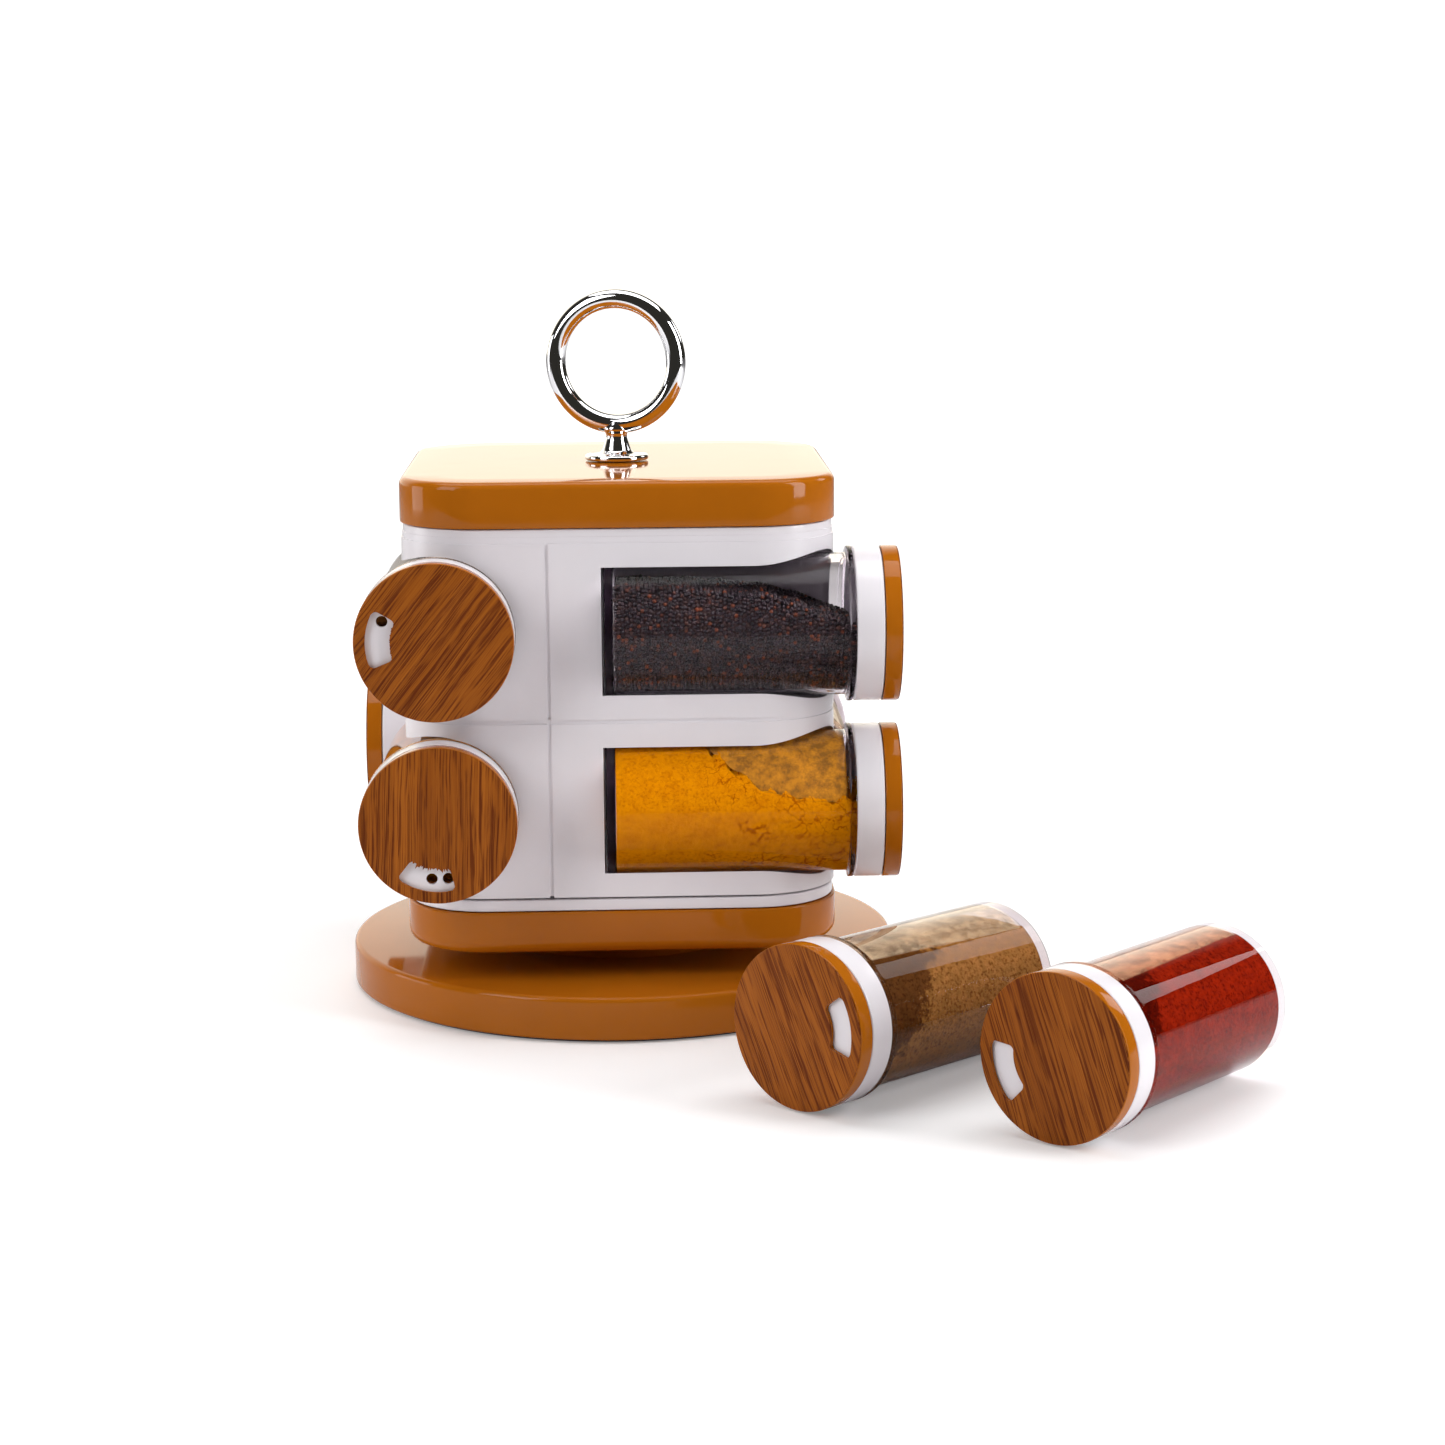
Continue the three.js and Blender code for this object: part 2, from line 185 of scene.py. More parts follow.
def prism(shape, z0, z1):
    """Extrudes a flat outline of (x, y) points."""
    return loft([[Vector((x, y, z0)) for x, y in shape], [Vector((x, y, z1)) for x, y in shape]])


def cylinder(radius, z0, z1, steps=CIRCLE_STEPS):
    return loft([circle_ring(radius, z0, steps), circle_ring(radius, z1, steps)])


def moved(mesh, matrix):
    mesh.transform(matrix)
    return mesh


def temporary(mesh):
    """An object made from a mesh, for a boolean."""
    data = bpy.data.meshes.new("temporary")
    mesh.to_mesh(data)
    mesh.free()
    thing = bpy.data.objects.new("temporary", data)
    bpy.context.scene.collection.objects.link(thing)
    return thing


def carved(body, steps):
    """Runs exact booleans on a mesh; steps are (operation, mesh) pairs. Returns a new mesh."""
    target = temporary(body)
    tools = []
    for operation, mesh in steps:
        tool = temporary(mesh)
        tools.append(tool)
        modifier = target.modifiers.new(operation, "BOOLEAN")
        modifier.operation = operation
        modifier.solver = "EXACT"
        modifier.object = tool
    graph = bpy.context.evaluated_depsgraph_get()
    result = bmesh.new()
    result.from_mesh(target.evaluated_get(graph).to_mesh())
    for thing in [target] + tools:
        data = thing.data
        bpy.data.objects.remove(thing)
        bpy.data.meshes.remove(data)
    bmesh.ops.remove_doubles(result, verts=result.verts, dist=1e-4)
    return result


def piece(name, mesh, material, body, replaces=(), place=None, bevel=0.0, sharp=35):
    """Turns a millimetre mesh into a smooth-shaded object that rides on a body."""
    mesh.transform(Matrix.Scale(MM, 4))
    data = bpy.data.meshes.new(name)
    mesh.to_mesh(data)
    mesh.free()
    data.polygons.foreach_set("use_smooth", [True] * len(data.polygons))
    data.set_sharp_from_angle(angle=math.radians(sharp))
    data.materials.append(material)
    thing = bpy.data.objects.new(name, data)
    bpy.context.scene.collection.objects.link(thing)
    if place is not None:
        thing.matrix_world = place
    if bevel > 0:
        edge = thing.modifiers.new("edges", "BEVEL")
        edge.width = bevel * MM
        edge.segments = 2
        edge.limit_method = "ANGLE"
        edge.angle_limit = math.radians(sharp)
        edge.harden_normals = True
        edge.miter_outer = "MITER_ARC"
    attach(thing, body)
    if replaces:
        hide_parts(*replaces)


# ---- materials -------------------------------------------------------------------------------

class Shader:
    """A Principled material with short ways to add nodes."""

    def __init__(self, name, colour, roughness, **values):
        self.material = bpy.data.materials.new(name)
        self.material.use_nodes = True
        self.tree = self.material.node_tree
        self.bsdf = self.tree.nodes["Principled BSDF"]
        self.output = self.tree.nodes["Material Output"]
        self.set("Base Color", (*colour, 1))
        self.set("Roughness", roughness)
        for socket, value in values.items():
            self.set(socket.replace("_", " "), value)

    def set(self, socket, value):
        self.bsdf.inputs[socket].default_value = value

    def node(self, kind, links=None, **settings):
        made = self.tree.nodes.new(kind)
        for key, value in settings.items():
            setattr(made, key, value)
        for socket, source in (links or {}).items():
            if isinstance(source, bpy.types.NodeSocket):
                self.tree.links.new(source, made.inputs[socket])
            else:
                made.inputs[socket].default_value = source
        return made

    def link(self, source, socket):
        self.tree.links.new(source, self.bsdf.inputs[socket])

    def coordinates(self, scale=(1, 1, 1)):
        """Object coordinates in millimetres, times scale."""
        position = self.node("ShaderNodeTexCoord").outputs["Object"]
        factor = tuple(value / MM for value in scale)
        return self.node("ShaderNodeMapping", {"Vector": position, "Scale": factor}).outputs["Vector"]

    def noise(self, vector, scale=1.0, detail=3.0, roughness=0.55):
        links = {"Vector": vector, "Scale": scale, "Detail": detail, "Roughness": roughness}
        return self.node("ShaderNodeTexNoise", links).outputs["Fac"]

    def ramp(self, value, stops):
        made = self.node("ShaderNodeValToRGB", {"Fac": value})
        elements = made.color_ramp.elements
        while len(elements) < len(stops):
            elements.new(0.5)
        for element, (position, colour) in zip(elements, stops):
            element.position = position
            element.color = (*colour, 1)
        return made.outputs["Color"]

    def span(self, value, low, high, start=0.0, end=1.0):
        """Maps start..end of a value to low..high."""
        links = {"Value": value, "From Min": start, "From Max": end, "To Min": low, "To Max": high}
        return self.node("ShaderNodeMapRange", links).outputs["Result"]

    def math(self, operation, *values):
        return self.node("ShaderNodeMath", dict(enumerate(values)), operation=operation).outputs["Value"]

    def mix(self, factor, first, second, blend="MIX"):
        made = self.node("ShaderNodeMix", data_type="RGBA", blend_type=blend)
        sockets = [socket for socket in made.inputs if socket.enabled]
        for socket, source in zip(sockets, (factor, first, second)):
            if isinstance(source, bpy.types.NodeSocket):
                self.tree.links.new(source, socket)
            elif isinstance(source, tuple):
                socket.default_value = (*source, 1)
            else:
                socket.default_value = source
        return [socket for socket in made.outputs if socket.enabled][0]

    def bump(self, height, strength, distance):
        """Adds relief; distance is in millimetres."""
        links = {"Height": height, "Strength": strength, "Distance": distance * MM}
        self.link(self.node("ShaderNodeBump", links).outputs["Normal"], "Normal")


def brown_plastic():
    shader = Shader("brown_plastic", (0.41, 0.117, 0.0045), 0.14, IOR=1.28)
    place = shader.coordinates()
    tones = [(0.3, (0.395, 0.112, 0.004)), (0.7, (0.425, 0.122, 0.0055))]
    shader.link(shader.ramp(shader.noise(place, 0.03, 3), tones), "Base Color")
    shader.link(shader.span(shader.noise(place, 0.11, 4), 0.04, 0.1), "Roughness")
    shader.bump(shader.noise(place, 0.05, 2), 0.15, 0.1)
    return shader.material


def white_plastic():
    shader = Shader("white_plastic", (0.80, 0.765, 0.80), 0.2, IOR=1.46)
    place = shader.coordinates()
    tones = [(0.3, (0.79, 0.755, 0.79)), (0.7, (0.81, 0.775, 0.81))]
    shader.link(shader.ramp(shader.noise(place, 0.03, 2), tones), "Base Color")
    shader.link(shader.span(shader.noise(place, 0.15, 3), 0.15, 0.24), "Roughness")
    shader.bump(shader.noise(place, 0.05, 2), 0.12, 0.2)
    return shader.material


def chrome():
    shader = Shader("chrome", (0.82, 0.82, 0.84), 0.04, Metallic=1.0)
    shader.link(shader.span(shader.noise(shader.coordinates(), 0.4, 5), 0.02, 0.07), "Roughness")
    return shader.material


def plated_steel():
    shader = Shader("plated_steel", (0.5, 0.5, 0.52), 0.35, Metallic=1.0)
    drawn = shader.noise(shader.coordinates((3, 3, 0.3)), 1.0, 4)
    shader.link(shader.span(drawn, 0.25, 0.45), "Roughness")
    return shader.material


def dark_nylon():
    shader = Shader("dark_nylon", (0.05, 0.045, 0.045), 0.5)
    shader.bump(shader.noise(shader.coordinates(), 2.0, 2), 0.3, 0.05)
    return shader.material


def let_light_through(shader):
    """Lets lamps shine through a clear shader, so that what is inside is lit."""
    clear = shader.node("ShaderNodeBsdfTransparent")
    path = shader.node("ShaderNodeLightPath")
    mix = shader.node("ShaderNodeMixShader", {"Fac": path.outputs["Is Shadow Ray"]})
    shader.tree.links.new(shader.bsdf.outputs["BSDF"], mix.inputs[1])
    shader.tree.links.new(clear.outputs["BSDF"], mix.inputs[2])
    shader.tree.links.new(mix.outputs["Shader"], shader.output.inputs["Surface"])


def clear_plastic():
    shader = Shader("clear_plastic", (0.98, 0.96, 0.98), 0.02, IOR=1.18, Specular_IOR_Level=0.9)
    shader.set("Transmission Weight", 1.0)
    let_light_through(shader)
    tint = shader.node("ShaderNodeVolumeAbsorption", {"Color": (0.6, 0.3, 0.6, 1), "Density": 18.0})
    shader.tree.links.new(tint.outputs["Volume"], shader.output.inputs["Volume"])
    return shader.material


def wood_print():
    """Embossed vinyl with a printed grain that runs along the piece's own Y."""
    shader = Shader("wood_print", (0.25, 0.08, 0.02), 0.45, IOR=1.2)
    shift = shader.span(shader.node("ShaderNodeObjectInfo").outputs["Random"], 0.0, 80.0)
    place = shader.coordinates()
    slow = shader.node("ShaderNodeVectorMath", {0: place, 1: (0.05, 0.02, 1)}, operation="MULTIPLY")
    wander = shader.noise(slow.outputs["Vector"], 1.0, 2)
    parts = shader.node("ShaderNodeSeparateXYZ", {"Vector": place})
    across = shader.math("MULTIPLY_ADD", wander, 2.6, parts.outputs["X"])
    along = parts.outputs["Y"]

    def streaks(x_scale, y_scale, detail):
        """Noise that is drawn out along the grain."""
        x = shader.math("MULTIPLY", across, x_scale)
        y = shader.math("MULTIPLY", along, y_scale)
        spot = shader.node("ShaderNodeCombineXYZ", {"X": x, "Y": y, "Z": shift})
        return shader.noise(spot.outputs["Vector"], 1.0, detail)

    def lines(x_scale, y_scale, width):
        """Thin dark lines where the streaks cross their middle value."""
        off = shader.math("ABSOLUTE", shader.math("SUBTRACT", streaks(x_scale, y_scale, 1), 0.5))
        return shader.ramp(off, [(0.4 * width, (0.0, 0.0, 0.0)), (width, (1, 1, 1))])

    browns = [(0.32, (0.27, 0.072, 0.006)), (0.66, (0.36, 0.104, 0.010))]
    bands = shader.ramp(streaks(0.14, 0.006, 2), browns)
    fibres = shader.ramp(streaks(3.0, 0.03, 3), [(0.36, (0.8, 0.75, 0.7)), (0.6, (1.06, 1.06, 1.06))])
    gaps = shader.ramp(streaks(0.8, 0.06, 2), [(0.46, (0.0, 0.0, 0.0)), (0.6, (0.9, 0.9, 0.9))])
    fine = shader.mix(1.0, lines(0.9, 0.008, 0.055), lines(1.6, 0.014, 0.06), "MULTIPLY")
    pores = shader.mix(gaps, fine, (1.0, 1.0, 1.0))
    tint = shader.mix(pores, (0.42, 0.30, 0.22), (1.04, 1.02, 1.0))
    toned = shader.mix(0.85, bands, fibres, "MULTIPLY")
    shader.link(shader.mix(1.0, toned, tint, "MULTIPLY"), "Base Color")
    shader.link(shader.span(pores, 0.6, 0.42), "Roughness")
    shader.bump(pores, 0.6, 0.12)
    return shader.material


def dark_patch(shader, place, colour, start, share):
    """Darkens a ragged clumpy patch towards the jar's mouth, past a distance along the jar."""
    parts = shader.node("ShaderNodeSeparateXYZ", {"Vector": place})
    ragged = shader.span(shader.noise(place, 0.2, 6, 0.8), -22.0, 22.0)
    raised = shader.math("MULTIPLY_ADD", parts.outputs["Y"], 0.9, ragged)
    where = shader.math("ADD", parts.outputs["Z"], raised)
    mask = shader.span(where, 0.0, 1.0, start, start + 3.0)
    dark = shader.mix(1.0, colour, (share, share * 0.85, share * 0.8), "MULTIPLY")
    return shader.mix(mask, colour, dark)


def cracked(shader, place, colour, width):
    """Draws fine broken cracks, except near the jar's closed end."""
    bend = shader.node("ShaderNodeTexNoise", {"Vector": place, "Scale": 0.35, "Detail": 4.0})
    links = {0: bend.outputs["Color"], 1: (5, 5, 5), 2: place}
    bent = shader.node("ShaderNodeVectorMath", links, operation="MULTIPLY_ADD")
    links = {"Vector": bent.outputs["Vector"], "Scale": 0.24}
    cell = shader.node("ShaderNodeTexVoronoi", links, feature="DISTANCE_TO_EDGE")
    along = shader.node("ShaderNodeSeparateXYZ", {"Vector": place}).outputs["Z"]
    broken = shader.span(shader.noise(place, 0.11, 4, 0.7), 0.0, width, 0.44, 0.62)
    reach = shader.span(along, 0.0, 1.0, 22.0, 46.0)
    inside = shader.math("LESS_THAN", cell.outputs["Distance"], shader.math("MULTIPLY", broken, reach))
    return shader.mix(inside, colour, shader.mix(1.0, colour, (0.6, 0.45, 0.4), "MULTIPLY"))


def powder(name, deep, light, speck, patch=None, cracks=None):
    """Spice powder: a grainy matt surface with darker specks. It can have a dark patch, given by
    where it starts and its share of the brightness, and cracks of a given width."""
    shader = Shader(name, light, 0.9, Specular_IOR_Level=0.0)
    place = shader.coordinates()
    tone = shader.ramp(shader.noise(place, 0.35, 6, 0.75), [(0.36, deep), (0.6, light)])
    specks = shader.ramp(shader.noise(place, 0.95, 3, 0.6), [(0.36, speck), (0.5, (1, 1, 1))])
    colour = shader.mix(1.0, tone, specks, "MULTIPLY")
    if patch:
        colour = dark_patch(shader, place, colour, *patch)
    if cracks:
        colour = cracked(shader, place, colour, cracks)
    shader.link(colour, "Base Color")
    shader.bump(shader.noise(place, 1.1, 5, 0.7), 0.8, 0.6)
    return shader.material


def powder_dust(name, colour, least, most):
    """A patchy film of dust that clings to the inside of a jar, between least and most cover."""
    shader = Shader(name, colour, 0.9)
    place = shader.coordinates()
    amount = shader.math("MULTIPLY", shader.noise(place, 1.3, 3, 0.7), shader.noise(place, 0.09, 3, 0.6))
    cover = shader.ramp(amount, [(0.20, (least, least, least)), (0.36, (most, most, most))])
    shader.link(cover, "Alpha")
    darker = tuple(0.42 * part for part in colour)
    shader.link(shader.ramp(shader.noise(place, 0.25, 5, 0.7), [(0.4, darker), (0.6, colour)]), "Base Color")
    return shader.material


def seeds_material():
    shader = Shader("mustard_seed", (0.02, 0.014, 0.016), 0.42, IOR=1.45)
    each = shader.node("ShaderNodeNewGeometry").outputs["Random Per Island"]
    shades = [(0.0, (0.008, 0.005, 0.008)), (0.6, (0.026, 0.016, 0.021)), (0.9, (0.045, 0.02, 0.017)),
              (0.985, (0.15, 0.035, 0.012))]
    shader.link(shader.ramp(each, shades), "Base Color")
    shader.bump(shader.noise(shader.coordinates(), 4.0, 2), 0.3, 0.1)
    return shader.material


BROWN = brown_plastic()
WHITE = white_plastic()
CLEAR = clear_plastic()
CHROME = chrome()
STEEL = plated_steel()
NYLON = dark_nylon()
WOOD = wood_print()
SEEDS = seeds_material()
SPICES = {
    "turmeric": {"deep": (0.59, 0.19, 0.001), "light": (0.70, 0.255, 0.001), "speck": (0.8, 0.7, 0.5),
                 "cracks": 0.07},
    "coriander": {"deep": (0.20, 0.088, 0.022), "light": (0.30, 0.130, 0.034), "speck": (0.5, 0.42, 0.34),
                  "patch": (62.0, 0.33)},
    "chilli": {"deep": (0.14, 0.006, 0.0015), "light": (0.235, 0.012, 0.002), "speck": (0.55, 0.4, 0.3),
               "patch": (76.0, 0.33)},
}
DUST = {
    "turmeric": {"colour": (0.56, 0.215, 0.001), "least": 0.8, "most": 0.98},
    "coriander": {"colour": (0.56, 0.40, 0.23), "least": 0.28, "most": 0.46},
    "chilli": {"colour": (0.62, 0.27, 0.12), "least": 0.28, "most": 0.48},
}
POWDERS = {name: powder(name, **looks) for name, looks in SPICES.items()}
DUSTS = {name: powder_dust(name + "_dust", **looks) for name, looks in DUST.items()}


# ---- the tower -------------------------------------------------------------------------------

def path_region(inset_out, inset_in, start, end):
    """The flat outline of an L-shaped wall: along the front face, round the corner, up the side."""
    flat = BODY_HALF - BODY_CORNER
    outer = [(start, -BODY_HALF + inset_out)]
    inner = [(start, -BODY_HALF + inset_in)]
    for step in range(CORNER_STEPS + 1):
        angle = (step / CORNER_STEPS - 1) * TURN / 4
        for ring, inset in ((outer, inset_out), (inner, inset_in)):
            radius = BODY_CORNER - inset
            ring.append((flat + radius * math.cos(angle), -flat + radius * math.sin(angle)))
    outer.append((BODY_HALF - inset_out, end))
    inner.append((BODY_HALF - inset_in, end))
    return outer + inner[::-1]


def jar_module_mesh():
    """One white module, in the place of the front lower one. Its walls, a tongue under each
    neighbour's edge, and the sleeve that the jar slides into."""
    z0 = TIER_Z + GROOVE / 2
    z1 = TIER_Z + TIER_HEIGHT - GROOVE / 2
    start = SEAM + GROOVE / 2
    end = SEAM - GROOVE / 2
    tongue = 0.4                  # how far below the surface the tongue lies
    wall = prism(path_region(0, WALL, start, end), z0, z1)
    lap_path = path_region(tongue, WALL - 0.3, start - 2 * GROOVE, end - GROOVE)
    lap = prism(lap_path, z0 + 0.5, z1 + 1.6 * GROOVE)
    block = loft([square_ring(BODY_HALF - HAIR, BODY_CORNER, z) for z in (z0 + HAIR, z1 - HAIR)])
    middle = Matrix.Translation((0, -JAR_AXIS, TIER_Z + TIER_HEIGHT / 2))
    axis = middle @ Matrix.Rotation(TURN / 4, 4, "Y")
    pocket_end = JAR_START - 0.5
    sleeve_end = pocket_end - POCKET_WALL
    sleeve = moved(cylinder(POCKET_RADIUS + POCKET_WALL, sleeve_end, BODY_HALF + 2), axis)
    pocket = moved(cylinder(POCKET_RADIUS, pocket_end, BODY_HALF + 9), axis)
    trimmed = carved(sleeve, [("INTERSECT", block)])
    shell = carved(wall, [("UNION", trimmed), ("DIFFERENCE", pocket.copy())])
    return joined(shell, carved(lap, [("DIFFERENCE", pocket)]))


def add_modules():
    """Four modules round the tower in each of its two tiers."""
    shape = jar_module_mesh()
    for quarter, side in enumerate(("front", "right", "back", "left")):
        for tier, row in enumerate(("lower", "upper")):
            lift = Matrix.Translation((0, 0, tier * TIER_HEIGHT))
            mesh = moved(shape.copy(), lift @ Matrix.Rotation(quarter * TURN / 4, 4, "Z"))
            piece(f"module_{side}_{row}", mesh, WHITE, "carousel", [f"jar_module_{side}_{row}"],
                  bevel=0.14)
    shape.free()


def rounded_pan(face, rim, inside, face_round, corner_round):
    """A square pan with a flat face and a skirt that ends at the rim. Inside is the height of the
    inner flat, face_round rounds the outer edge and corner_round the inner one."""
    return squared([(FLAT_INSET, face, 0), (0, face, face_round), (0, rim, 0.5), (WALL, rim, 0.3),
                    (WALL, inside, corner_round), (FLAT_INSET, inside, 0)], TRIM_HALF, BODY_CORNER)


def add_lid_and_tray():
    top = LID_HIGH.z
    lid = rounded_pan(top, LID_LOW.z, top - WALL, 2.4, 1)
    piece("lid_shell", lid, BROWN, "carousel", ["top_lid"])
    boss_z, boss_radius, boss_height = TRAY_LOW.z, 40, 3
    floor = boss_z + boss_height
    pan = rounded_pan(floor, TRAY_HIGH.z, floor + WALL, 4.2, 3)
    middle, boss_top = 10, floor + 0.5
    boss = turned([(middle, boss_z, 0), (boss_radius, boss_z, 0.6), (boss_radius, boss_top, 0),
                   (middle, boss_top, 0)])
    piece("tray_shell", joined(pan, boss), BROWN, "carousel", ["bottom_tray"])


def add_clamp_plates():
    """The white plates above and below the jar modules, which show as thin white rims."""
    for name, low, high in (("lower", LOWER_LOW, LOWER_HIGH), ("upper", UPPER_LOW, UPPER_HIGH)):
        inset = BODY_HALF - high.x
        outline = [(FLAT_INSET, low.z, 0), (inset, low.z, 0.4), (inset, high.z, 0.4), (FLAT_INSET, high.z, 0)]
        plate = squared(outline, BODY_HALF, BODY_CORNER)
        piece(f"plate_{name}", plate, WHITE, "carousel", [f"{name}_plate"])


def add_handle():
    """The lifting ring: a round bar bent into a ring on a waisted stem with a flat foot."""
    tube, radius = 3.3, 20.9
    around, section = 144, 40
    foot_radius, waist = 10.7, 3.3
    centre = HANDLE_HIGH.z - tube - radius
    foot = HANDLE_LOW.z
    bar = [Vector((radius + point.x, point.y, 0)) for point in circle_ring(tube, 0, section)]
    turns = [Matrix.Rotation(TURN * i / around, 4, "Y") for i in range(around)]
    rings = [[turn @ point for point in bar] for turn in turns]
    ring = moved(loft(rings, True), Matrix.Translation((0, 0, centre)))
    joint = centre - radius
    stem = turned([(2, foot, 0), (foot_radius, foot, 0.7), (foot_radius, foot + 1.8, 0.8),
                   (6.2, foot + 2.1, 0.5), (4.9, foot + 3.2, 2), (waist, foot + 8.2, 5),
                   (4.6, joint - 1.6, 1.5), (3.0, joint + 1, 0.5), (1, joint + 1, 0)])
    whole = moved(carved(ring, [("UNION", stem)]), Matrix.Rotation(RING_TURN, 4, "Z"))
    piece("handle_ring", whole, CHROME, "carousel", ["ring_handle"], bevel=0.35, sharp=28)


def add_base():
    """The round dish that the tower turns on, the cover under it and the glide ring on top."""
    bore, hub, hub_low, land_radius = 3, 14, 8, 40
    steps = 192
    inside = BASE_RADIUS - WALL
    rim, top, land = SHELL_LOW.z, 15.0, SHELL_HIGH.z
    ceiling = top - WALL
    dish = turned([(bore, land, 0), (land_radius, land, 0.6), (land_radius + 2, top, 1),
                   (BASE_RADIUS, top, 1.7), (BASE_RADIUS, rim, 1.2), (inside, rim, 0.3),
                   (inside, ceiling, 1.5), (hub, ceiling, 1), (hub, hub_low, 0.5), (bore, hub_low, 0)],
                  closed=True, steps=steps)
    piece("base_dish", dish, BROWN, "base", ["base_shell"])
    low, high = box_mm("base_plate")
    middle = 20
    cover = turned([(middle, low.z, 0), (high.x, low.z, 0.5), (high.x, high.z, 0.3), (middle, high.z, 0)],
                   steps=steps)
    piece("base_cover", cover, NYLON, "base", ["base_plate"])
    low, high = box_mm("glide_ring")
    hole = 24
    glide = turned([(hole, low.z, 0.4), (high.x, low.z, 0.4), (high.x, high.z, 0.4), (hole, high.z, 0.4)],
                   closed=True)
    piece("glide", glide, NYLON, "base", ["glide_ring"])


def finish_hidden_metal():
    """The rod, its nut and its washer keep their CAD shapes."""
    for name in ("centre_rod", "pivot_nut", "pivot_washer"):
        data = frame["nodes"][name].data
        data.materials.clear()
        data.materials.append(STEEL)


# ---- the jars --------------------------------------------------------------------------------

JAR_RADIUS = 22.9
INSIDE = 21.3                     # inner radius of the jar
FLOOR = 3.2                       # thickness of the jar's closed end
FLANGE = 78.0                     # from the closed end to the flange
NECK_RADIUS = 21.5
NECK_INSIDE = 19.9
NECK_TAPER = 2.0                  # length over which the inside narrows to the neck
NECK_END = 87.5
CAP_RADIUS = 25                   # of the flange and the dial; the sifter lid is a little less
FACE_MIDDLE = 10                  # radius within which a flat round face is one polygon
HOLE_CIRCLE = 17.4                # the circle on which the sifter holes and the window lie
HOLE_STEP = 5.2 / HOLE_CIRCLE


def jar_mesh():
    """The clear jar: a thick closed end, a flange, and a neck with two beads for the lid."""
    beads = []
    for start in (FLANGE + 3.2, FLANGE + 6.2):
        crest = (NECK_RADIUS + 0.5, start + 0.6, 0.3)
        beads += [(NECK_RADIUS, start, 0), crest, (NECK_RADIUS, start + 1.2, 0)]
    middle, flange_top, taper_start = 12, FLANGE + 1.8, FLANGE + 0.2
    return turned([
        (middle, 0, 0), (JAR_RADIUS, 0, 1.0), (JAR_RADIUS, FLANGE, 0.5),
        (CAP_RADIUS, FLANGE, 0.4), (CAP_RADIUS, flange_top, 0.4), (NECK_RADIUS, flange_top, 0.3),
        *beads, (NECK_RADIUS, NECK_END, 0.5), (NECK_INSIDE, NECK_END, 0.5),
        (NECK_INSIDE, taper_start + NECK_TAPER, 0.6), (INSIDE, taper_start, 0.8),
        (INSIDE, FLOOR, 1.2), (middle, FLOOR, 0),
    ])


def sifter_mesh():
    """The white screw lid, with three holes in its raised disc, centred on +X."""
    inner, disc, skirt = 22.4, 22.2, CAP_RADIUS - 0.1
    rim, shoulder, ceiling, top = 80.1, 88.8, 91.3, 92.9
    lid = turned([
        (FACE_MIDDLE, ceiling, 0), (20.2, ceiling, 0.5), (inner, 87.8, 0.6), (inner, rim, 0.3),
        (skirt, rim, 0.5), (skirt, shoulder, 0.5), (disc, shoulder, 0.2), (disc, top, 0.4),
        (FACE_MIDDLE, top, 0),
    ])
    hole_radius = 1.8
    cuts = []
    for step in (-1, 0, 1):
        place = Matrix.Rotation(step * HOLE_STEP, 4, "Z") @ Matrix.Translation((HOLE_CIRCLE, 0, 0))
        cuts.append(("DIFFERENCE", moved(cylinder(hole_radius, rim, top + 7, 32), place)))
    return carved(lid, cuts)


def window_shape(tear=0.0):
    """A kidney-shaped window centred on +X: a round-cornered bar bent along a circle. A tear makes
    its inner edge ragged, by up to about that many millimetres."""
    half_length, half_width, corner, stride = 8.0, 3.9, 1.7, 0.4
    bar = soften([(-half_length, -half_width, corner), (half_length, -half_width, corner),
                  (half_length, half_width, corner), (-half_length, half_width, corner)], 8)
    shape = []
    for start, end in zip(bar, bar[1:] + bar[:1]):
        count = max(1, round((end - start).length / stride))
        for i in range(count):
            along, out = start.lerp(end, i / count)
            if tear and out < 0:
                out += tear * abs(noise.noise(Vector((along * 1.1, 3, 7))))
            radius, angle = HOLE_CIRCLE + out, along / HOLE_CIRCLE
            shape.append((radius * math.cos(angle), radius * math.sin(angle)))
    return shape


def dial_mesh():
    """The brown cap that turns on the sifter lid, with its window centred on +X."""
    inner = CAP_RADIUS - 2
    rim, ceiling, top = 89.1, 93.2, 94.15
    cap = turned([
        (FACE_MIDDLE, ceiling, 0), (inner, ceiling, 0.4), (inner, rim, 0.3),
        (CAP_RADIUS, rim, 0.35), (CAP_RADIUS, top, 0.3), (FACE_MIDDLE, top, 0),
    ])
    return carved(cap, [("DIFFERENCE", prism(window_shape(), ceiling - 1, top + 1))])


def inlay_mesh(window_turn, tear):
    """The wood print on the dial. Its grain runs along +Y, so the window is turned instead. A torn
    print covers a part of the window in the dial under it."""
    radius, low, high = CAP_RADIUS - 0.2, JAR_LENGTH - 0.3, JAR_LENGTH
    disc = turned([(FACE_MIDDLE, low, 0), (radius, low, 0.1), (radius, high, 0.15), (FACE_MIDDLE, high, 0)])
    window = moved(prism(window_shape(tear), low - 1, high + 1), Matrix.Rotation(window_turn, 4, "Z"))
    return carved(disc, [("DIFFERENCE", window)])


# Where each jar's pieces are turned, in degrees anticlockwise for someone who faces its dial:
# the sifter holes, the window and the wood grain. The last value is how torn the print is, in mm.
ANGLES = {
    "front_upper": (70, 180, 40, 0),
    "front_lower": (200, 95, 100, 0),
    "right_lower": (20, 310, 75, 0),
    "back_lower": (250, 140, 15, 0),
    "left_upper": (139.5, 176, 52, 0.7),
    "left_lower": (279.6, 258, 88, 3.4),
    "loose_inner": (190, 11, 118, 0),
    "loose_outer": (10, 200.5, 112, 0),
}


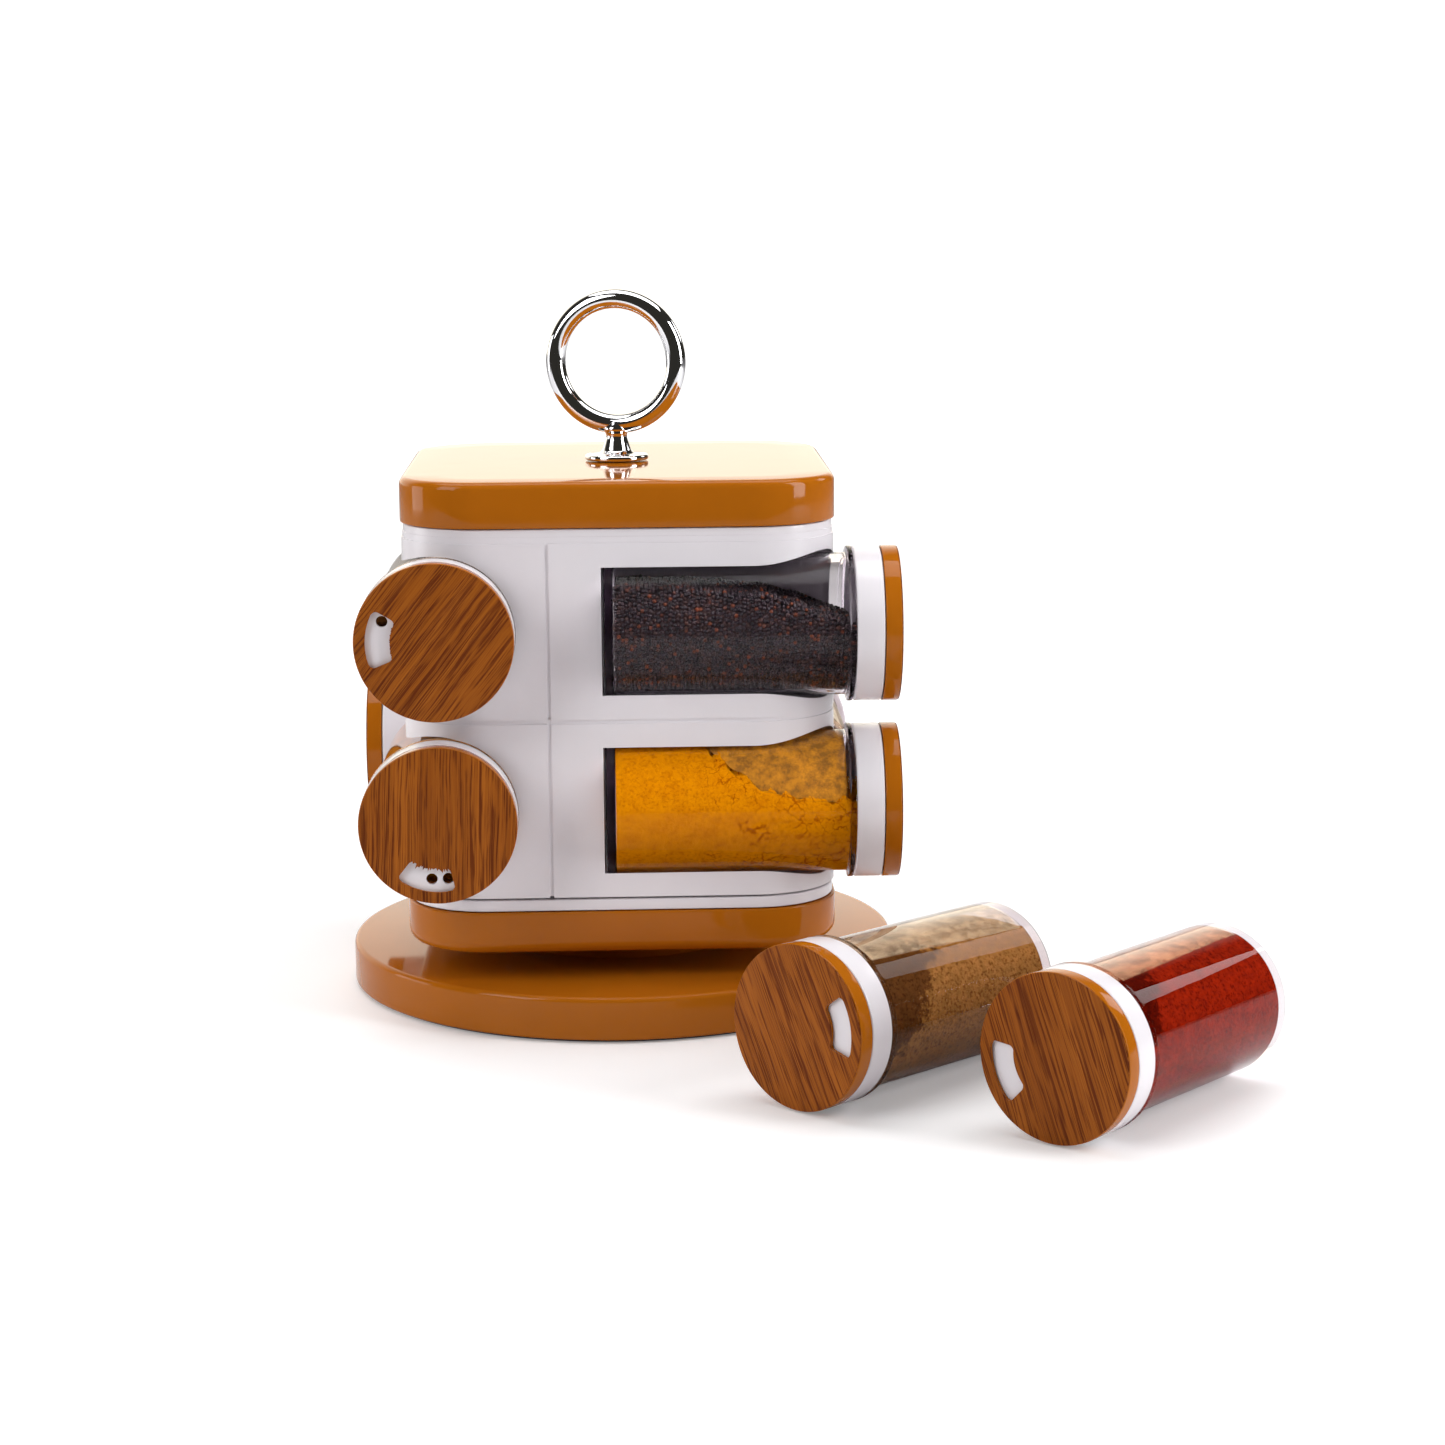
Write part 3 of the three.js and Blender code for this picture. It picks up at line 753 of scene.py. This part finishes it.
def jar_frame(place):
    """The jar's own axes in the frame: origin at its closed end, +Z out of its mouth, +Y up."""
    joint = JOINTS[place + "_dial_turn"]
    out = Vector(joint["axis"]).normalized()
    right = Vector((0, 0, 1)).cross(out).normalized()
    up = out.cross(right)
    origin = Vector(joint["pos_m"]) - out * JAR_LENGTH * MM
    rotation = Matrix((right, up, out)).transposed().to_4x4()
    return Matrix.Translation(origin) @ rotation


def add_jar(place, shapes):
    """The jar, its sifter lid, its dial and the wood print on the dial."""
    at = jar_frame(place)
    *turns, tear = ANGLES[place]
    holes, window, grain = (math.radians(turn) for turn in turns)
    piece(f"glass_{place}", shapes["jar"].copy(), CLEAR, f"{place}_jar", [f"jar_{place}"],
          at)
    piece(f"sifter_{place}", shapes["sifter"].copy(), WHITE, f"{place}_lid", [f"sifter_lid_{place}"],
          at @ Matrix.Rotation(holes, 4, "Z"), bevel=0.15, sharp=50)
    piece(f"dial_cap_{place}", shapes["dial"].copy(), BROWN, f"{place}_dial", [f"dial_{place}"],
          at @ Matrix.Rotation(window, 4, "Z"), bevel=0.15, sharp=50)
    lean = grain - TURN / 4
    print_mesh = inlay_mesh(window - lean, tear)
    piece(f"wood_{place}", print_mesh, WOOD, f"{place}_dial", [f"wood_inlay_{place}"],
          at @ Matrix.Rotation(lean, 4, "Z"))


# ---- the spices ------------------------------------------------------------------------------

LUMP_SCALE = 0.22                 # lumps in the level per millimetre, about


def level_between(stops, along):
    """Height of the spice at a distance along the jar, eased between (distance, height) stops."""
    for (a, low), (b, high) in zip(stops, stops[1:]):
        if along <= b:
            share = max(0.0, (along - a) / (b - a))
            share = share * share * (3 - 2 * share)
            return low + (high - low) * share
    return stops[-1][1]


def inner_radius(along):
    """Radius of the room inside the jar, and a hair more, so that no gap shows at the wall."""
    share = min(1.0, max(0.0, (along - FLANGE) / NECK_TAPER))
    return INSIDE + (NECK_INSIDE - INSIDE) * share + HAIR


def fill_mesh(stops, clump, seed, radius_cut=0.0):
    """Spice lying in a jar on its side: the jar's inside, cut off at a level with lumps of about
    clump millimetres. Radius_cut leaves room round it for a layer of seeds."""
    around, rows = 200, 160
    start, end = FLOOR + 0.15, NECK_END - 1.5
    rings = []
    for row in range(rows + 1):
        along = start + (end - start) * row / rows
        radius = inner_radius(along) - radius_cut
        level = level_between(stops, along)
        ring = []
        for i in range(around):
            angle = TURN * i / around
            x, y = radius * math.sin(angle), -radius * math.cos(angle)
            spot = Vector((x * LUMP_SCALE + seed, 3.0, along * LUMP_SCALE))
            lump = noise.fractal(spot, 0.8, 2.1, 5) * clump
            y = min(y, max(level + lump - radius_cut, -radius + 0.5))
            ring.append(Vector((x, y, along)))
        rings.append(ring)
    return loft(rings)


def film_mesh(stops):
    """A thin arched film on the jar's wall, over the space above the spice."""
    rows, arc = 60, 48
    start, end = FLOOR + 1.5, FLANGE - 1
    outer, inner = INSIDE + HAIR, INSIDE + 0.4 * HAIR
    overlap = 0.03                # how far the film reaches below the level, in radians
    rings = []
    for row in range(rows + 1):
        along = start + (end - start) * row / rows
        level = level_between(stops, along)
        half = math.acos(max(-1.0, min(1.0, level / INSIDE))) + overlap
        angles = [half * (2 * i / arc - 1) for i in range(arc + 1)]
        spots = [(outer, angle) for angle in angles] + [(inner, angle) for angle in angles[::-1]]
        rings.append([Vector((radius * math.sin(angle), radius * math.cos(angle), along))
                      for radius, angle in spots])
    return loft(rings)


def add_powder(place, spice, stops, clump, seed):
    at = jar_frame(place)
    mesh = fill_mesh(stops, clump, seed)
    piece(f"{spice}_{place}", mesh, POWDERS[spice], f"{place}_jar", place=at, sharp=180)
    film = film_mesh(stops)
    piece(f"dust_{place}", film, DUSTS[spice], f"{place}_jar", place=at, sharp=180)


def seed_spots(stops, spacing, rng):
    """Middles of the seeds that can be seen: those on the jar's wall and those on top."""
    size = spacing / 2
    end = NECK_END - 3.5
    spots = []
    rows = int((end - FLOOR) / spacing)
    for row in range(rows):
        along = FLOOR + size + row * spacing * 0.95
        radius = inner_radius(along) - size
        level = level_between(stops, along)
        steps = int(TURN * radius / spacing)
        phase = rng.random()
        for i in range(steps):
            angle = TURN * (i + phase + rng.uniform(-0.2, 0.2)) / steps
            y = -radius * math.cos(angle)
            if y < level:
                spots.append((radius * math.sin(angle), y, along + rng.uniform(-0.3, 0.3)))
        across = math.sqrt(max(0.0, radius ** 2 - level ** 2))
        for i in range(int(2 * across / spacing)):
            x = -across + spacing * (i + 0.5 * (row % 2) + rng.uniform(-0.2, 0.2))
            lift = 1.1 * noise.noise(Vector((x * 0.2, 1, along * 0.2)))
            spots.append((x, level + lift + rng.uniform(-0.25, 0.25), along + rng.uniform(-0.25, 0.25)))
    return spots


def seeds_mesh(spots, size, rng):
    """One small round body at each spot, with radii that vary about size."""
    ball = bmesh.new()
    bmesh.ops.create_icosphere(ball, subdivisions=1, radius=1)
    corners = [vert.co.copy() for vert in ball.verts]
    faces = [[vert.index for vert in face.verts] for face in ball.faces]
    ball.free()
    points, polygons = [], []
    for spot in spots:
        first = len(points)
        scale = size * rng.uniform(0.86, 1.12)
        turn = Matrix.Rotation(rng.uniform(0, TURN), 3, "Z")
        points += [Vector(spot) + turn @ corner * scale for corner in corners]
        polygons += [[first + i for i in face] for face in faces]
    data = bpy.data.meshes.new("seeds")
    data.from_pydata(points, [], polygons)
    mesh = bmesh.new()
    mesh.from_mesh(data)
    bpy.data.meshes.remove(data)
    return mesh


def add_seeds(place, stops):
    """Mustard seed: a layer of separate seeds round a core that fills the gaps between them."""
    rng = random.Random(7)
    at = jar_frame(place)
    spacing = 1.3
    core = fill_mesh([(along, height - 0.6) for along, height in stops], 0.6, 5, radius_cut=0.9)
    piece(f"seed_core_{place}", core, SEEDS, f"{place}_jar", place=at, sharp=180)
    spots = seed_spots(stops, spacing, rng)
    seeds = seeds_mesh(spots, spacing * 0.53, rng)
    piece(f"seeds_{place}", seeds, SEEDS, f"{place}_jar", place=at, sharp=180)


def add_jars():
    shapes = {"jar": jar_mesh(), "sifter": sifter_mesh(), "dial": dial_mesh()}
    for place in ANGLES:
        add_jar(place, shapes)
    for mesh in shapes.values():
        mesh.free()


def add_spices():
    """Levels are (distance from the closed end, height above the jar's axis). A height over the
    jar's radius means that the jar is full there."""
    full = 23.0
    sloping = [(3, 14), (20, 13.6), (50, 11.5), (60, 8.5), (70, 5), (78, 2), (86, 0)]
    heaped = [(3, full), (29, full), (35, 18), (42, 13.5), (51, 7.5), (64, 4.5), (86, 3.5)]
    add_seeds("front_upper", sloping)
    add_powder("front_lower", "turmeric", heaped, 2.4, 1.0)
    add_powder("loose_inner", "coriander", [(3, 17.5), (86, 18.6)], 0.4, 2.0)
    add_powder("loose_outer", "chilli", [(3, 20.5), (86, 19.6)], 0.4, 3.0)
    add_powder("left_upper", "coriander", [(3, 12), (86, 5)], 0.8, 4.0)
    add_powder("left_lower", "turmeric", [(3, 6), (86, 0)], 0.8, 5.0)
    add_powder("back_lower", "chilli", [(3, 14), (86, 6)], 0.8, 6.0)
    add_powder("right_lower", "coriander", [(3, 8), (86, 2)], 0.8, 7.0)


# ---- camera, light and floor -----------------------------------------------------------------

def add_camera():
    """Stands about a metre in front of the tower, a little higher than its ring, and looks down."""
    yaw, pitch, roll = (math.radians(angle) for angle in (-2.2595, -9.657, -0.3845))
    data = bpy.data.cameras.new("camera")
    data.sensor_width = 36
    data.lens = 77.03
    data.shift_x = -0.01355
    data.shift_y = -0.02997
    camera = bpy.data.objects.new("camera", data)
    bpy.context.scene.collection.objects.link(camera)
    aim = Matrix.Rotation(yaw, 4, "Z") @ Matrix.Rotation(TURN / 4 + pitch, 4, "X")
    stand = Matrix.Translation(Vector((0.7, -1040.6, 278.5)) * MM)
    camera.matrix_world = stand @ aim @ Matrix.Rotation(roll, 4, "Z")
    bpy.context.scene.camera = camera


def add_area_light(name, position, target, size, energy):
    """A rectangular lamp that faces its target; lengths are in metres and energy in watts."""
    data = bpy.data.lights.new(name, "AREA")
    data.shape = "RECTANGLE"
    data.size, data.size_y = size
    data.energy = energy
    light = bpy.data.objects.new(name, data)
    bpy.context.scene.collection.objects.link(light)
    light.location = position
    light.rotation_euler = (Vector(target) - Vector(position)).to_track_quat("-Z", "Y").to_euler()


def add_floor():
    """A white floor under the rack. To the camera it glows more the farther away it lies, so that
    it runs into the white behind it."""
    reach, front, thickness, clearance = 14000, -750, 10, 0.02
    corners = [(-reach, front), (reach, front), (reach, reach), (-reach, reach)]
    floor = prism(corners, -thickness, -clearance)
    data = bpy.data.meshes.new("floor")
    moved(floor, Matrix.Scale(MM, 4)).to_mesh(data)
    floor.free()
    shader = Shader("floor", (0.86, 0.855, 0.86), 0.6)
    place = shader.coordinates()
    shader.link(shader.span(shader.noise(place, 0.01, 2), 0.55, 0.65), "Roughness")
    shader.set("Emission Color", (1, 1, 1, 1))
    away = shader.node("ShaderNodeSeparateXYZ", {"Vector": place}).outputs["Y"]
    glow = shader.span(away, 0.2, 0.95, 100.0, 1800.0)
    seen = shader.node("ShaderNodeLightPath").outputs["Is Camera Ray"]
    shader.link(shader.math("MULTIPLY", glow, seen), "Emission Strength")
    data.materials.append(shader.material)
    thing = bpy.data.objects.new("floor", data)
    bpy.context.scene.collection.objects.link(thing)


def add_world():
    """A white studio: bright behind the object and to its left, and almost dark elsewhere, so that
    the jars stay clear. The camera itself sees plain white, and reflections are a little warm."""
    world = bpy.data.worlds.new("studio")
    world.use_nodes = True
    bpy.context.scene.world = world
    tree = world.node_tree
    background = tree.nodes["Background"]
    direction = tree.nodes.new("ShaderNodeTexCoord").outputs["Generated"]
    facing = tree.nodes.new("ShaderNodeVectorMath")
    facing.operation = "DOT_PRODUCT"
    tree.links.new(direction, facing.inputs[0])
    facing.inputs[1].default_value = (-0.32, 0.95, 0.12)
    level = tree.nodes.new("ShaderNodeMapRange")
    level.interpolation_type = "SMOOTHSTEP"
    tree.links.new(facing.outputs["Value"], level.inputs["Value"])
    for socket, value in (("From Min", 0.62), ("From Max", 0.93), ("To Min", 0.03), ("To Max", 1.72)):
        level.inputs[socket].default_value = value
    seen = tree.nodes.new("ShaderNodeLightPath")
    strength = tree.nodes.new("ShaderNodeMix")
    tree.links.new(seen.outputs["Is Camera Ray"], strength.inputs["Factor"])
    tree.links.new(level.outputs["Result"], strength.inputs["A"])
    strength.inputs["B"].default_value = 1.05
    tree.links.new(strength.outputs["Result"], background.inputs["Strength"])
    tint = tree.nodes.new("ShaderNodeMix")
    tint.data_type = "RGBA"
    tree.links.new(seen.outputs["Is Glossy Ray"], tint.inputs["Factor"])
    tint.inputs["A"].default_value = (1, 1, 1, 1)
    tint.inputs["B"].default_value = (1, 0.945, 0.8, 1)
    tree.links.new(tint.outputs["Result"], background.inputs["Color"])


def add_lights():
    add_area_light("top_softbox", (0, 0.05, 1.15), (0, 0, 0.1), (1.3, 0.6), 8.8)
    add_area_light("left_softbox", (-0.95, -0.8, 0.75), (0, 0, 0.1), (0.6, 0.9), 8.6)
    add_area_light("right_softbox", (1.15, -0.5, 0.6), (0, 0, 0.1), (0.45, 1.1), 14)
    add_area_light("back_softbox", (1.2, 0.66, 0.75), (0.17, -0.17, 0.04), (0.42, 0.42), 2)
    add_area_light("left_card", (-1.3, 0.15, 0.1), (0, 0, 0.1), (0.5, 0.8), 4)


add_camera()
add_world()
add_lights()
add_floor()
add_modules()
add_lid_and_tray()
add_clamp_plates()
add_handle()
add_base()
finish_hidden_metal()
add_jars()
add_spices()

bpy.context.scene.view_settings.view_transform = "Standard"
